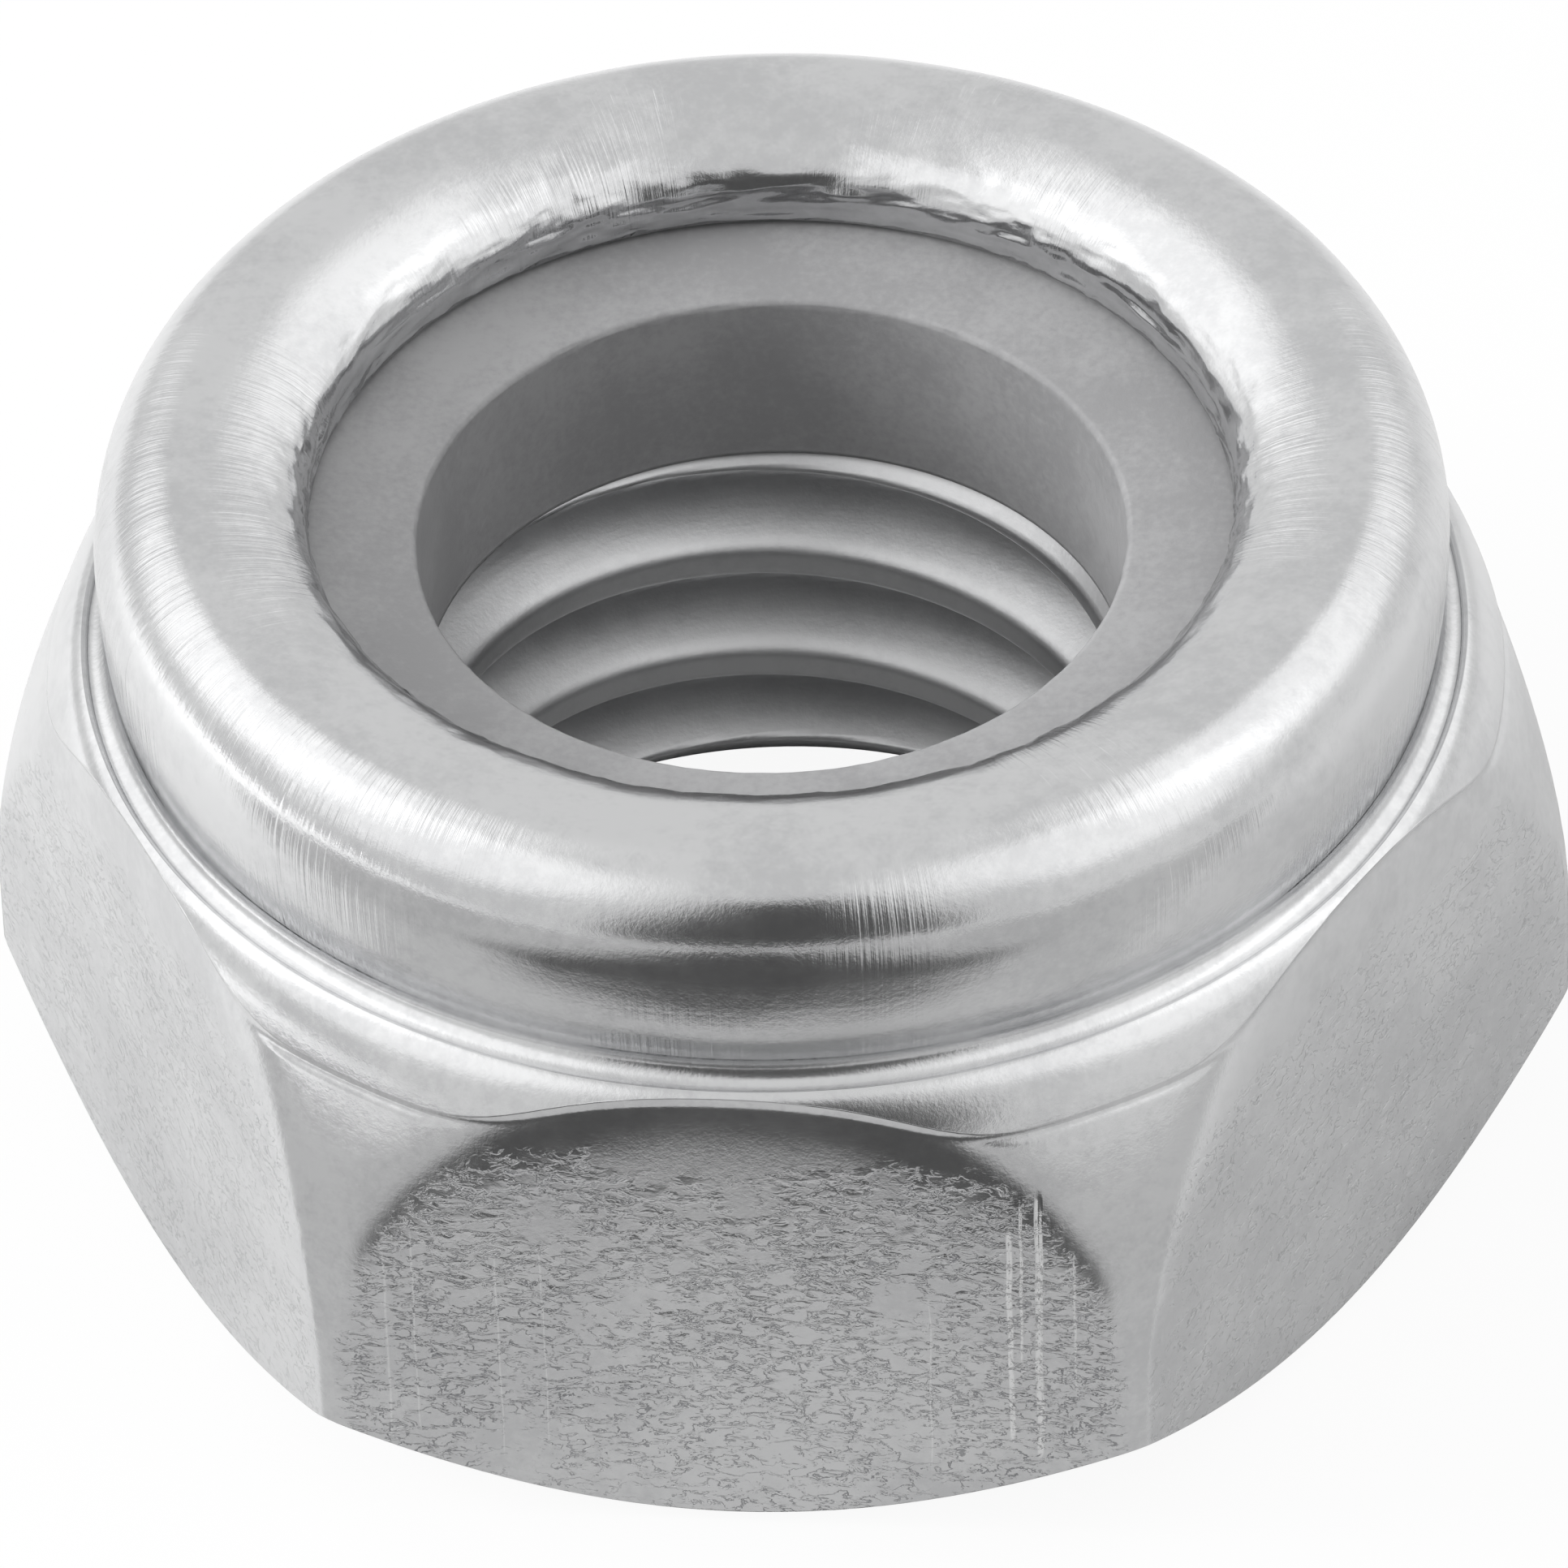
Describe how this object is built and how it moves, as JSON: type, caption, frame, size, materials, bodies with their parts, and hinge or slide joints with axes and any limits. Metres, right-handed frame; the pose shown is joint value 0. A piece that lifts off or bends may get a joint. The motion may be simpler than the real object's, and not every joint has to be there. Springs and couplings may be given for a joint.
{
  "type": "nylon insert hex lock nut",
  "caption": "Hex lock nut: a zinc plated steel body with a rolled collar that holds a flat nylon ring above a metric thread.",
  "frame": {"origin": "centre of the bearing face, on the thread axis", "axes": "+Z along the thread axis, from the bearing face towards the collar; two flats of the hexagon face -Y and +Y"},
  "size_m": [0.0114, 0.01, 0.0058],
  "materials": {
    "zinc_steel": "bright zinc plate on cold formed steel, slightly pitted flats",
    "nylon": "satin natural grey polyamide"
  },
  "bodies": {
    "root": {"nut_body": "zinc_steel", "nylon_insert": "nylon"}
  },
  "joints": []
}
